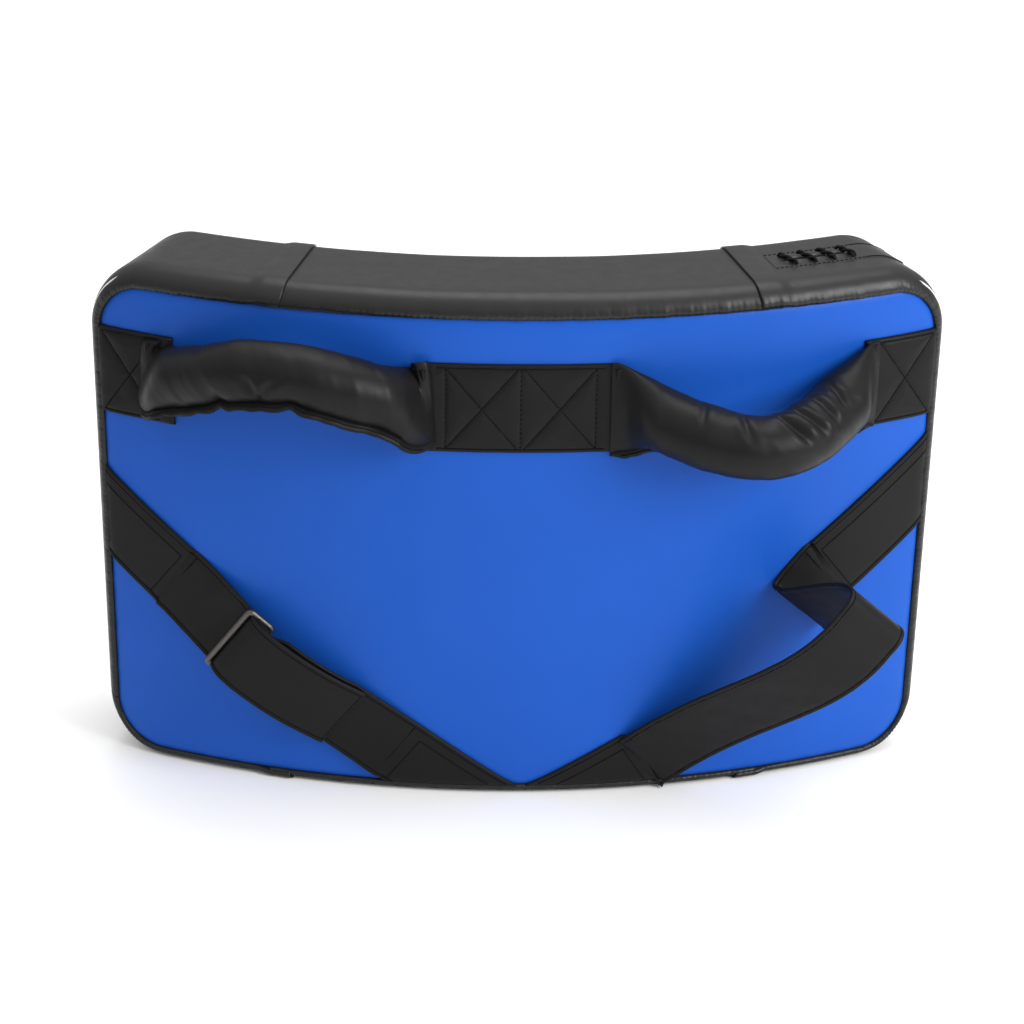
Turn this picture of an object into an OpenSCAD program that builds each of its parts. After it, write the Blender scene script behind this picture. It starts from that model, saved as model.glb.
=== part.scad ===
// Curved kick pad for Muay Thai training, standing on its lower edge.
// The holder's side (-Y) is convex and carries two padded hand grips and two forearm straps.
// The strike side (+Y) is concave. All sizes are in millimetres.
// The origin is on the flat underside, midway through the thickness, on the centre line.

/* [Body] */
// Width of the pad between its two ends, measured straight across the holder's side
pad_w = 586; // [560:2:610]
// Height of the pad
pad_h = 378; // [370:1:390]
// Thickness of the foam and cover
pad_t = 85; // [80:1:95]
// Radius of the curve of the holder's side
back_r = 660; // [600:10:760]
// Radius of the four corners, seen from the front
corner_r = 48; // [42:1:56]
// Rounding along the long edges
edge_r = 15; // [12:1:18]
// Angle by which each end face leans in towards the strike side
end_lean = 25; // [20:1:28]

/* [Cover] */
// Thickness of the synthetic leather
cover_t = 2; // [1.5:0.1:2.5]
// Distance from each end to the panel seam
panel_side_in = 8; // [6:0.5:12]
// Distance from the top edge to the panel seam
panel_top_in = 13; // [10:0.5:16]
// Distance from the bottom edge to the panel seam
panel_bottom_in = 5; // [4:0.5:10]
// Width of the welt that covers the panel seam
welt_w = 3.4; // [2.5:0.1:4]
// Height of the welt above the cover
welt_h = 2.2; // [1.5:0.1:3]
// Distance of the band's four cross seams from the centre line, along the curve
cross_seam = 173; // [165:1:180]
// Width of the overlap at each cross seam
overlap_w = 15; // [12:1:18]

/* [Hand grips] */
// Height of the grip centre line above the underside
grip_z = 301; // [290:1:306]
// Height of the band that is sewn to the cover
patch_h = 64; // [58:1:66]
// Half the width of the centre patch
patch_centre = 60; // [56:1:64]
// Distance from the centre line to the inner edge of an outer patch
patch_outer = 247; // [240:1:250]
// Diameter of a padded grip
grip_d = 42; // [38:1:44]
// Height of a grip's centre line above its swing axis
grip_rise = 46; // [44:1:52]
// Tilt of the left grip above straight out
grip_left_tilt = 38; // [20:1:45]
// Tilt of the right grip below straight out
grip_right_tilt = 11; // [0:1:30]

/* [Forearm straps] */
// Width of a strap
strap_w = 55; // [50:1:58]
// Thickness of a strap
strap_t = 2.4; // [2:0.1:3]
// Slope of the straps' sewn upper ends
tab_slope = 38; // [34:1:42]
// Slope of the left strap's sewn foot
left_foot_slope = 36; // [34:1:40]
// Slope of the right strap's sewn foot
right_foot_slope = 31; // [30:1:38]

/* [Lacing] */
// First and last angle of the lace-up opening round the pad's curve
lace_from = 16.2; // [16:0.1:17]
lace_to = 21.9; // [21.5:0.1:23]
// Diameter of the lace
lace_d = 3.4; // [3:0.1:4]
// Number of lace stitches
lace_count = 4; // [3:1:5]

/* [Hidden] */
$fn = 72;

gap = 0.15;                       // clearance between parts that only touch
past = 2;                         // how far a cut or a limit runs past the surface it meets
far = 300;                        // a length that is longer than any part here
round_fn = 288;                   // facets of the shapes turned round the pad's curve
raised_t = 1.6;                   // thickness of leather or webbing that lies on another layer
centre_y = back_r - pad_t / 2;    // axis of the pad's curve
front_r = back_r - pad_t;         // radius of the strike side
mid_r = back_r - pad_t / 2;
sweep = 40;                       // half angle that reaches past both ends
end_y = centre_y - sqrt(pow(back_r, 2) - pow(pad_w / 2, 2));
panel_r = corner_r - panel_top_in + 1;
foam_strike_t = 20;
foam_back_t = 12;
welt_depth = 5;                   // reach of a welt down the rounded edge
backing_arc = 278;                // reach of the webbing behind the grips, either side of the centre
overlap_run = 8;                  // reach of a folded end past its cross seam
join_in = 0.03;                   // angle by which a folded end's join stops short of its edge
inside_welt = welt_w / 2 + 0.3;   // distance from the panel seam to anything sewn on the panel

// ---------- positions on the holder's side ----------

function deg(arc) = arc / back_r * 180 / PI;
function out_dir(arc) = [sin(deg(arc)), -cos(deg(arc)), 0];
function on_back(arc, z, h = 0) = [0, centre_y, z] + (back_r + h) * out_dir(arc);
function unit(v) = v / norm(v);

// ---------- shared shapes ----------

// A rounded rectangle from [x1, y1] to [x2, y2], made of exact arcs.
module rounded(x1, y1, x2, y2, r) {
    translate([x1 + r, y1]) square([x2 - x1 - 2 * r, y2 - y1]);
    translate([x1, y1 + r]) square([x2 - x1, y2 - y1 - 2 * r]);
    for (x = [x1 + r, x2 - r], y = [y1 + r, y2 - r]) translate([x, y]) circle(r);
}

// Turns a profile of [radius, height] round the axis of the pad's curve, from angle a1 to a2.
module turned(a1 = -sweep, a2 = sweep)
    translate([0, centre_y, 0]) rotate([0, 0, 270 + a1])
        rotate_extrude(angle = a2 - a1, $fn = round_fn) children();

module sector(r1, r2, z1, z2, a1 = -sweep, a2 = sweep)
    turned(a1, a2) translate([r1, z1]) square([r2 - r1, z2 - z1]);

// Everything on the inner side of one leaning end face, between two heights.
module end_side(side, end_in, z1, z2, r)
    translate([side * (pad_w / 2 - end_in), end_y, 0]) rotate([0, 0, side * end_lean])
        translate([0, far, 0]) rotate([90, 0, 0]) linear_extrude(height = 2 * far)
            if (side > 0) rounded(-pad_w - far, z1, 0, z2, r);
            else rounded(0, z1, pad_w + far, z2, r);

module outline(end_in, z1, z2, r) intersection() {
    end_side(1, end_in, z1, z2, r);
    end_side(-1, end_in, z1, z2, r);
}

// The whole pad, shrunk by inset on every side.
module envelope(inset = 0) intersection() {
    turned() rounded(front_r + inset, inset, back_r - inset, pad_h - inset, edge_r - inset);
    outline(inset, inset, pad_h - inset, corner_r - inset);
}

// The area inside the panel seam, shrunk by inset.
module panel_area(inset = 0)
    outline(panel_side_in + inset, panel_bottom_in + inset, pad_h - panel_top_in - inset,
        panel_r - inset);

// ---------- cover ----------

module shell() difference() {
    envelope();
    envelope(cover_t);
}

module back_panel() color("royalblue") intersection() {
    shell();
    sector(mid_r, back_r + past, -past, pad_h + past);
    panel_area(gap);
}

module strike_panel() color("royalblue") intersection() {
    shell();
    sector(front_r - past, mid_r, -past, pad_h + past);
    panel_area(gap);
}

// The part of the black band between two angles and two heights.
module band_piece(a1, a2, z1, z2) difference() {
    intersection() {
        shell();
        sector(front_r - past, back_r + past, z1, z2, a1, a2);
    }
    panel_area();
}

module band_top() color("dimgray")
    band_piece(-deg(cross_seam), deg(cross_seam), pad_h / 2, pad_h + past);

module band_bottom() color("dimgray")
    band_piece(-deg(cross_seam), deg(cross_seam), -past, pad_h / 2);

module band_left() color("dimgray") {
    band_piece(-sweep, -deg(cross_seam + gap), -past, pad_h + past);
    top_overlap(-1);
}

module band_right() color("dimgray") difference() {
    union() {
        band_piece(deg(cross_seam + gap), sweep, -past, pad_h + past);
        top_overlap(1);
    }
    lace_slit();
    lace_holes();
}

// A side band's folded end: it lies on the middle band and joins the side band past the seam.
module top_overlap(side) {
    inner = deg(cross_seam - overlap_w);
    root = deg(cross_seam + 1);
    outer = deg(cross_seam + overlap_run);
    lap = side > 0 ? [inner, outer] : [-outer, -inner];
    join = side > 0 ? [root, outer - join_in] : [join_in - outer, -root];
    flat_in = edge_r + past;
    sector(front_r + flat_in, back_r - flat_in, pad_h + gap, pad_h + raised_t, lap[0], lap[1]);
    sector(front_r + flat_in + 0.5, back_r - flat_in - 0.5, pad_h - 1, pad_h + 1, join[0], join[1]);
}

// The welt follows the panel seam and stands on the cover.
module welt(r1, r2) color("black") difference() {
    intersection() {
        sector(r1, r2, 0, pad_h);
        panel_area(-welt_w / 2);
    }
    panel_area(welt_w / 2);
    envelope(-gap);
}

module welt_back() welt(back_r - welt_depth, back_r + welt_h);
module welt_strike() welt(front_r - welt_h, front_r + welt_depth);

// ---------- filling ----------

module foam_layer(r1, r2) intersection() {
    envelope(cover_t + gap);
    sector(r1, r2, 0, pad_h);
}

module foam_strike() color("lightgray")
    foam_layer(front_r, front_r + foam_strike_t);

module foam_core() color("beige") difference() {
    foam_layer(front_r + foam_strike_t + gap, back_r - foam_back_t - gap);
    sector(mid_r - pocket_half, mid_r + pocket_half, tongue_z - gap, pad_h + past,
        lace_from - pocket_more, lace_to + pocket_more);
}

module foam_back() color("lightgray") difference() {
    foam_layer(back_r - foam_back_t, back_r);
    sector(back_r - cover_t - raised_t - gap, back_r, grip_z - patch_h / 2 - past,
        grip_z + patch_h / 2 + past, -deg(backing_arc + past), deg(backing_arc + past));
}

// Webbing behind the cover that the grip band is sewn through to.
module grip_backing() color("gray")
    sector(back_r - cover_t - raised_t, back_r - cover_t - gap, grip_z - patch_h / 2,
        grip_z + patch_h / 2, -deg(backing_arc), deg(backing_arc));

// ---------- lace-up opening ----------

lace_in = 0.6;                    // angle from the end of the facing to the first lace hole
lace_slant = 0.5;                 // angle by which a lace stitch leans along the slit
lace_step = (lace_to - lace_from - 2 * lace_in - lace_slant) / (lace_count - 1);
lace_reach = 9;                   // distance of the lace holes from the slit
lace_play = 0.3;                  // clearance round the lace in its holes
slit_half = 2.5;
slit_in = 0.5;                    // angle from the end of the facing to the end of the slit
facing_half = 14;
tongue_half = 16;
pocket_half = 17;
pocket_more = 0.4;                // angle by which the pocket is longer than the tongue
lace_pocket = 7;                  // depth of the pocket under the lacing
tongue_z = pad_h - cover_t - lace_pocket + gap;

function lace_angle(i) = lace_from + lace_in + i * lace_step;
function lace_near(i) = [mid_r + lace_reach, lace_angle(i) + lace_slant];
function lace_far(i) = [mid_r - lace_reach, lace_angle(i)];
function lace_point(p, z) = [p[0] * sin(p[1]), centre_y - p[0] * cos(p[1]), z];

module lace_holes() for (i = [0:lace_count - 1], p = [lace_near(i), lace_far(i)])
    translate(lace_point(p, pad_h - 5)) cylinder(h = 10, d = lace_d + 2 * lace_play);

module lace_slit()
    sector(mid_r - slit_half, mid_r + slit_half, pad_h - 5, pad_h + 5,
        lace_from + slit_in, lace_to - slit_in);

module lace_facing() color("black") difference() {
    sector(mid_r - facing_half, mid_r + facing_half, pad_h + gap, pad_h + raised_t,
        lace_from, lace_to);
    lace_slit();
    lace_holes();
}

module lace_tongue() color("black")
    sector(mid_r - tongue_half, mid_r + tongue_half, tongue_z, tongue_z + raised_t - gap,
        lace_from, lace_to);

module cord(a, b) hull() {
    translate(a) sphere(d = lace_d, $fn = 10);
    translate(b) sphere(d = lace_d, $fn = 10);
}

module lace() color("black") {
    over = pad_h + raised_t + gap + lace_d / 2;
    under = pad_h - cover_t - lace_play - lace_d / 2;
    for (i = [0:lace_count - 1]) {
        cord(lace_point(lace_near(i), under), lace_point(lace_near(i), over));
        cord(lace_point(lace_near(i), over), lace_point(lace_far(i), over));
        cord(lace_point(lace_far(i), over), lace_point(lace_far(i), under));
        if (i < lace_count - 1)
            cord(lace_point(lace_far(i), under), lace_point(lace_near(i + 1), under));
    }
}

// ---------- hand grips ----------

patch_rise = 3;                   // height of a sewn patch above the cover

module patch(arc1, arc2) color("black") intersection() {
    sector(back_r + gap, back_r + patch_rise, grip_z - patch_h / 2, grip_z + patch_h / 2,
        deg(arc1), deg(arc2));
    panel_area(inside_welt);
}

module patch_left() patch(-far - past, -patch_outer);
module patch_centre() patch(-patch_centre, patch_centre);
module patch_right() patch(patch_outer, far + past);

axis_h = 14;                      // height of a grip's swing axis above the cover
neck_l = 26;                      // length over which each end of a grip narrows
neck_steps = 4;
neck_in = 3;                      // how much narrower each step of a neck is
grip_r = grip_d / 2;
grip_a = on_back(patch_centre + 1, grip_z, axis_h);
grip_b = on_back(patch_outer - 1, grip_z, axis_h);
grip_chord = norm(grip_b - grip_a);
arch_r = (pow(grip_chord / 2, 2) + pow(grip_rise, 2)) / (2 * grip_rise);
arch_half = asin(grip_chord / 2 / arch_r);
grip_half = arch_half - neck_l / arch_r * 180 / PI;
neck_step = (arch_half - grip_half) / neck_steps;
fin_half = 34;                    // half the fin's length, as an angle along the arch
fin_l = 8;
fin_w = 3.2;
fin_slit_w = 0.5;                 // gap between the two layers of the fin
wall_in = 0.4;                    // angle of solid leather at each end of a sleeve
core_in = 0.8;                    // angle from the end of a sleeve's arch to its foam

function mirrored(p, side) = [side * p[0], p[1], p[2]];

// Local frame of a grip: x along the swing axis, y straight out, z up. Side is -1 for left.
module grip_frame(side, tilt) {
    a = mirrored(grip_a, side);
    b = mirrored(grip_b, side);
    x = side * unit(a - b);
    y = cross([0, 0, 1], x);
    m = (a + b) / 2;
    multmatrix([
        [x[0], y[0], 0, m[0]],
        [x[1], y[1], 0, m[1]],
        [0, 0, 1, m[2]],
        [0, 0, 0, 1]
    ]) rotate([tilt, 0, 0]) children();
}

// Sweeps a cross-section along the grip's arch, over half angle a each way.
module arch(a) translate([0, grip_rise - arch_r, 0]) rotate([0, 0, 90 - a])
    rotate_extrude(angle = 2 * a) translate([arch_r, 0]) children();

// The sleeve is rolled round the foam, and its two edges are sewn together into a fin.
module grip_sleeve() difference() {
    union() {
        arch(grip_half) circle(grip_r);
        arch(fin_half) translate([-fin_w / 2, -grip_r - fin_l + 1]) square([fin_w, fin_l + 2]);
        for (k = [1:neck_steps]) arch(grip_half + k * neck_step) circle(grip_r - k * neck_in);
    }
    arch(grip_half - wall_in) circle(grip_r - cover_t);
    arch(fin_half + past) translate([-fin_slit_w / 2, -grip_r - fin_l - past])
        square([fin_slit_w, fin_l + cover_t + 1.5 * past]);
}

module grip_core() arch(grip_half - core_in) circle(grip_r - cover_t - gap);

module grip_left_sleeve() color("black") grip_frame(-1, grip_left_tilt) grip_sleeve();
module grip_left_core() color("gray") grip_frame(-1, grip_left_tilt) grip_core();
module grip_right_sleeve() color("black") grip_frame(1, -grip_right_tilt) grip_sleeve();
module grip_right_core() color("gray") grip_frame(1, -grip_right_tilt) grip_core();

// ---------- forearm straps ----------

// Where each strap's free part starts and ends: distance from the centre line, height.
left_top = [240, 150];
left_foot = [84, 34];
right_top = [218, 160];
right_foot = [93, 25];

// Local frame of a strap: x from its upper end to its foot, y straight out, z across its width.
module strap_frame(side, top, foot) {
    p = on_back(side * top[0], top[1]);
    q = on_back(side * foot[0], foot[1]);
    x = unit(q - p);
    radial = out_dir(side * (top[0] + foot[0]) / 2);
    y = unit(radial - (radial * x) * x);
    z = cross(x, y);
    multmatrix([
        [x[0], y[0], z[0], p[0]],
        [x[1], y[1], z[1], p[1]],
        [x[2], y[2], z[2], p[2]],
        [0, 0, 0, 1]
    ]) children();
}

module left_frame() strap_frame(-1, left_top, left_foot) children();
module right_frame() strap_frame(1, right_top, right_foot) children();
function span(top, foot) = norm(on_back(foot[0], foot[1]) - on_back(top[0], top[1]));

function bezier(c, t) = pow(1 - t, 3) * c[0] + 3 * pow(1 - t, 2) * t * c[1]
    + 3 * (1 - t) * pow(t, 2) * c[2] + pow(t, 3) * c[3];
function slope(c, t) = unit(pow(1 - t, 2) * (c[1] - c[0]) + 2 * (1 - t) * t * (c[2] - c[1])
    + pow(t, 2) * (c[3] - c[2]));
function left_of(v) = [-v[1], v[0]];

// Outline of a web of thickness t whose middle follows the curves in order, raised by lift.
module web_outline(curves, lift = 0, t = strap_t, t1 = 0, t2 = 1, steps = 12) {
    last = len(curves) - 1;
    ts = [for (k = [0:last], i = [0:steps - (k < last ? 1 : 0)])
        [k, (k == 0 ? t1 : 0) + ((k == last ? t2 : 1) - (k == 0 ? t1 : 0)) * i / steps]];
    function at(u, d) = bezier(curves[u[0]], u[1]) + d * left_of(slope(curves[u[0]], u[1]));
    polygon(concat([for (u = ts) at(u, lift - t / 2)],
        [for (i = [len(ts) - 1:-1:0]) at(ts[i], lift + t / 2)]));
}

module across(w = strap_w) translate([0, 0, -w / 2]) linear_extrude(height = w) children();

// The sewn end of a strap: a diagonal strip on the cover that runs into the panel seam.
module sewn_end(side, place, dir) intersection() {
    sector(back_r + gap, back_r + gap + strap_t, 0, pad_h);
    panel_area(inside_welt);
    translate([on_back(side * place[0], 0)[0], far, place[1]]) rotate([90, 0, 0])
        rotate([0, 0, side > 0 ? dir : 180 - dir])
            translate([-sewn_back, -strap_w / 2, 0]) linear_extrude(height = 2 * far)
                square([far, strap_w]);
}

rise = 3.4;                       // height of a free part above its ends on the cover
sewn_back = 6;                    // reach of a sewn end under the start of its free part
left_l = span(left_top, left_foot);
right_l = span(right_top, right_foot);

// Left strap: the upper web passes under the ring's exposed bar and over its held bar.
upper_run = [[-2, rise], [14, 5.2], [32, 12], [52, 17.3]];
upper_rise = [[52, 17.3], [58, 18.5], [60, 24.8], [70, 26.3]];
tail_run = [[71.5, 26.5], [92, 29], [122, 26], [150, 12]];
tape_t = 1.2;                     // thickness of each layer of hook and loop tape
tape_drop = strap_t / 2 + gap + tape_t / 2;
lower_drop = 2 * tape_drop + tape_t + gap;
tape_from = 0.16;                 // where the tape starts and ends, as shares of the free end
tape_to = 0.97;
tape_w = strap_w - 8;
foot_at = 0.95;                   // where the lower web leaves the free end's curve
foot_start = bezier(tail_run, foot_at) - lower_drop * left_of(slope(tail_run, foot_at));
foot_run = [foot_start, foot_start + 12 * slope(tail_run, foot_at), [172, 5.2], [left_l, rise]];
merge = 0.1;                      // overlap of layers that are sewn into one
loop_throat = [[0, -5], [16, 1.4], [16, 3], [0, 4]];
ring_d = 5;
ring_side_d = 4.2;
bar_end = 1;                      // how much longer the bars are than the ring's sides need
ring_w = strap_w + 2;
bar_exposed = [51, 21.2];
bar_held = [71, 17];
ring_dir = unit(bar_exposed - bar_held);

module strap_left_upper() color("black") {
    sewn_end(-1, left_top, tab_slope);
    left_frame() across() web_outline([upper_run, upper_rise]);
}

// The lower web wraps round the held bar and is sewn back on itself.
module strap_left_lower() color("black") {
    sewn_end(-1, left_foot, 180 + left_foot_slope);
    left_frame() across() difference() {
        union() {
            web_outline([tail_run], -lower_drop, t2 = 0.98);
            web_outline([tail_run], -lower_drop - strap_t + merge, t1 = 0.12, t2 = 0.45);
            web_outline([foot_run]);
            translate(bar_held) circle(ring_d / 2 + gap + strap_t);
            translate(bar_held) polygon(loop_throat);
        }
        translate(bar_held) circle(ring_d / 2 + gap);
    }
}

module strap_left_tail() color("black") left_frame() across() {
    web_outline([tail_run]);
    translate(tail_run[0]) circle(strap_t / 2);
}

module hook_patch() color("gray") left_frame() across(tape_w)
    web_outline([tail_run], -tape_drop, tape_t, tape_from, tape_to);

module loop_patch() color("gray") left_frame() across(tape_w)
    web_outline([tail_run], -tape_drop - tape_t - gap, tape_t, tape_from, tape_to);

// The ring tilts about its held bar.
module buckle_ring() color("dimgray") left_frame() {
    half = (ring_w + ring_d) / 2;
    for (bar = [bar_exposed, bar_held]) translate([bar[0], bar[1], 0])
        cylinder(h = 2 * half + ring_d + bar_end, d = ring_d, center = true);
    for (side = [-1, 1]) translate([bar_held[0], bar_held[1], side * half])
        rotate([0, 0, atan2(ring_dir[1], ring_dir[0])]) rotate([0, 90, 0])
            cylinder(h = norm(bar_exposed - bar_held), d = ring_side_d);
}

// Right strap: it has slack, so it folds back over its upper end before it runs to its foot.
fold_low = [[-2, rise], [8, 4.6], [18, 5], [25, 7]];
fold_back = [[27, 14], [23, 30], [-4, 50], [-12, 72]];
fold_top = [[-12, 72], [-16, 84], [-12, 90], [2, 90]];
run_down = [[2, 90], [60, 100], [98, 36], [right_l, rise]];
swing_cut = 153;                  // distance down the strap where its free part ends
swing_gap = 0.3;

module strap_right_upper() color("black") {
    sewn_end(1, right_top, tab_slope);
    right_frame() across() web_outline([fold_low]);
}

module strap_right_web() color("black") right_frame() across() difference() {
    web_outline([fold_back, fold_top, run_down]);
    translate([swing_cut, -far]) square([far, 2 * far]);
}

module strap_right_foot() color("black") {
    sewn_end(1, right_foot, 180 + right_foot_slope);
    intersection() {
        panel_area(inside_welt);
        right_frame() across() intersection() {
            web_outline([run_down]);
            translate([swing_cut + swing_gap, -far]) square([far, 2 * far]);
        }
    }
}

back_panel();
strike_panel();
band_top();
band_bottom();
band_left();
band_right();
welt_back();
welt_strike();
foam_strike();
foam_core();
foam_back();
grip_backing();
lace_facing();
lace_tongue();
lace();
patch_left();
patch_centre();
patch_right();
grip_left_sleeve();
grip_left_core();
grip_right_sleeve();
grip_right_core();
strap_left_upper();
strap_left_lower();
strap_left_tail();
buckle_ring();
hook_patch();
loop_patch();
strap_right_upper();
strap_right_web();
strap_right_foot();
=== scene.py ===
"""A curved thai pad on a pale floor: synthetic leather cover, padded hand grips, forearm straps.

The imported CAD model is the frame. Each soft part is rebuilt here as its own mesh in the same place.
Lengths are in metres. The pad is a bent block, so places on it are given as
(arc along the holder's side, height, depth from the holder's side).
"""

import math

import bmesh
import bpy
import numpy as np
from mathutils import Matrix, Vector


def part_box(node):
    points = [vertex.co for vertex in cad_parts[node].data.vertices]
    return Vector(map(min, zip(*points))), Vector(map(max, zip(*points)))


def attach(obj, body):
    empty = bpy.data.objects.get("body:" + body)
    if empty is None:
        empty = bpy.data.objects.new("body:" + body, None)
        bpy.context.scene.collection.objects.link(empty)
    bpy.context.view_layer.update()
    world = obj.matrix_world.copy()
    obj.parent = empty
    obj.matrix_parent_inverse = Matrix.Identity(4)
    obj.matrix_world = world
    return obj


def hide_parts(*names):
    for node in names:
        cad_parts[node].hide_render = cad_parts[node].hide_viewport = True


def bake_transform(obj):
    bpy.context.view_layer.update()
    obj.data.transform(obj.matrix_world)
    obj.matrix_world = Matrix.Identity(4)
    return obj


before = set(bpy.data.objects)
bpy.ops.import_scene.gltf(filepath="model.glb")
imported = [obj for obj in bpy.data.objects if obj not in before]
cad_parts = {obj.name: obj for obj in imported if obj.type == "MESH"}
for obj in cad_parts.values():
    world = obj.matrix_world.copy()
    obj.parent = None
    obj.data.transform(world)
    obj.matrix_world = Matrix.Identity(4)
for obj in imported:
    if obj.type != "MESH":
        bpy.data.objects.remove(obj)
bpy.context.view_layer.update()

bpy.context.scene.view_settings.view_transform = "Standard"
MM = 0.001
SEED = 11

# ---------- the pad's shape ----------

RADIUS = 660 * MM                 # radius of the holder's side
DEPTH = 85 * MM
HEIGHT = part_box("band_left")[1][2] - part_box("band_left")[0][2] - 1.6 * MM
CENTRE_Y = RADIUS - DEPTH / 2
HALF_ARC = RADIUS * math.asin(0.293 / RADIUS)
CORNER = 48 * MM
PANEL_CORNER = 36 * MM
SIDE_IN = 8 * MM
TOP_IN = 13 * MM
BOTTOM_IN = 5 * MM
ROLL = 15 * MM                    # depth over which the band rolls into its seam
CROSS_SEAM = 173 * MM
OVERLAP = 15 * MM
STEP = 1.2 * MM                   # spacing of points along the cover's outline
STITCH = 4.2 * MM                 # pitch of the cover's stitches

GRIP_Z = 301 * MM
PATCH_H = 64 * MM
PATCH_CENTRE = 60 * MM
PATCH_OUTER = 247 * MM
AXIS_H = 14 * MM
GRIP_RISE = 46 * MM
GRIP_R = 21.5 * MM

LACE_FROM = 192 * MM              # ends of the slit, along the holder's side
LACE_TO = 247 * MM
LACE_FIRST = 193.5 * MM           # first lace hole, and the distance from each to the next
LACE_STEP = 15.36 * MM
LACE_SLANT = 5.8 * MM
LACE_REACH = 9 * MM               # distance of the lace holes from the slit
FACING = 14 * MM                  # half the width of the facing

STRAP_W = 55 * MM
STRAP_T = 2.4 * MM


def smooth(a, b, x):
    t = np.clip((np.asarray(x, float) - a) / (b - a), 0, 1)
    return t * t * (3 - 2 * t)


def unit(v):
    v = np.asarray(v, float)
    return v / np.maximum(np.linalg.norm(v, axis=-1, keepdims=True), 1e-12)


def on_pad(arc, z, out=0.0):
    """Points at an arc length and a height, a distance out from the holder's side."""
    a = np.asarray(arc, float) / RADIUS
    r = RADIUS + np.asarray(out, float)
    x, y, h = np.broadcast_arrays(r * np.sin(a), CENTRE_Y - r * np.cos(a), np.asarray(z, float))
    return np.stack([x, y, h], -1)


def out_dir(arc):
    a = np.asarray(arc, float) / RADIUS
    return np.stack([np.sin(a), -np.cos(a), np.zeros_like(a)], -1)


def wave(x, period, seed=0.0):
    """A smooth uneven wave between -1 and 1."""
    k = 2 * math.pi * np.asarray(x) / period
    return 0.5 * np.sin(k + seed) + 0.3 * np.sin(1.7 * k + 2.1 * seed + 1) + 0.2 * np.sin(2.9 * k + 0.7 * seed)


# ---------- mesh helpers ----------

def mesh_object(name, points, faces, material):
    mesh = bpy.data.meshes.new(name)
    mesh.from_pydata(np.asarray(points).reshape(-1, 3).tolist(), [], faces)
    mesh.update()
    mesh.shade_smooth()
    mesh.materials.append(material)
    obj = bpy.data.objects.new(name, mesh)
    bpy.context.scene.collection.objects.link(obj)
    return obj


def face_out(obj):
    """Turns a closed mesh's faces outwards."""
    bm = bmesh.new()
    bm.from_mesh(obj.data)
    bmesh.ops.recalc_face_normals(bm, faces=bm.faces)
    bm.to_mesh(obj.data)
    bm.free()
    return obj


def grid_faces(rows, cols, wrap_cols=False, wrap_rows=False, base=0):
    i, j = np.meshgrid(np.arange(rows if wrap_rows else rows - 1),
                       np.arange(cols if wrap_cols else cols - 1), indexing="ij")
    i, j = i.ravel(), j.ravel()
    i2, j2 = (i + 1) % rows, (j + 1) % cols
    return (np.stack([i * cols + j, i * cols + j2, i2 * cols + j2, i2 * cols + j], -1) + base).tolist()


def sheet(name, grid, material, thickness, wrap_rows=False, weld=False):
    """A cover panel: a grid of surface points, given thickness inwards."""
    rows, cols = grid.shape[:2]
    obj = mesh_object(name, grid, grid_faces(rows, cols, wrap_rows=wrap_rows), material)
    if weld:
        mod = obj.modifiers.new("weld", "WELD")
        mod.merge_threshold = 0.05 * MM
    mod = obj.modifiers.new("thickness", "SOLIDIFY")
    mod.thickness = thickness
    mod.offset = -1
    return obj


def tube(name, rings, material, caps=True):
    """A closed loft through rings of points."""
    rows, cols = rings.shape[:2]
    faces = grid_faces(rows, cols, wrap_cols=True)
    if caps:
        faces.append(list(range(cols)))
        faces.append(list(range(rows * cols - 1, (rows - 1) * cols - 1, -1)))
    return face_out(mesh_object(name, rings, faces, material))


def resample(points, step):
    points = np.asarray(points, float)
    length = np.concatenate([[0], np.cumsum(np.linalg.norm(np.diff(points, axis=0), axis=1))])
    count = max(2, int(round(length[-1] / step)) + 1)
    at = np.linspace(0, length[-1], count)
    return np.stack([np.interp(at, length, points[:, k]) for k in range(points.shape[1])], -1)


def stitch_line(points, normals, pitch=3.4 * MM, length=2.5 * MM, radius=0.42 * MM):
    """Vertices and faces of a row of short stitches that follow a line on a surface."""
    joined = resample(np.concatenate([points, normals], -1), pitch)
    mids = (joined[1:, :3] + joined[:-1, :3]) / 2
    along = unit(joined[1:, :3] - joined[:-1, :3])
    up = unit((joined[1:, 3:] + joined[:-1, 3:]) / 2)
    side = np.cross(along, up)
    sides = 6
    stations = ((-0.5, 0.35, -0.5), (-0.3, 0.95, 0.1), (0.0, 1.1, 0.25), (0.3, 0.95, 0.1), (0.5, 0.35, -0.5))
    angle = np.arange(sides) * 2 * math.pi / sides
    rings = []
    for where, size, lift in stations:
        centre = mids + along * where * length + up * lift * radius
        ring = (centre[:, None] + radius * size * (np.cos(angle)[None, :, None] * side[:, None]
                + np.sin(angle)[None, :, None] * up[:, None]))
        rings.append(ring)
    verts = np.stack(rings, 1)
    faces = []
    for k in range(len(mids)):
        base = k * len(stations) * sides
        faces += grid_faces(len(stations), sides, wrap_cols=True, base=base)
        faces.append([base + i for i in range(sides)])
        faces.append([base + (len(stations) - 1) * sides + i for i in range(sides - 1, -1, -1)])
    return verts.reshape(-1, 3), faces


def thread(name, lines, body, **options):
    """One object of stitches for several lines, each a pair of points and normals."""
    verts, faces = [], []
    count = 0
    for points, normals in lines:
        v, f = stitch_line(points, normals, **options)
        faces += [[i + count for i in face] for face in f]
        verts.append(v)
        count += len(v)
    obj = mesh_object(name, np.concatenate(verts), faces, MATERIAL["thread"])
    if body:
        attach(obj, body)
    return obj


# ---------- materials ----------

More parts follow.
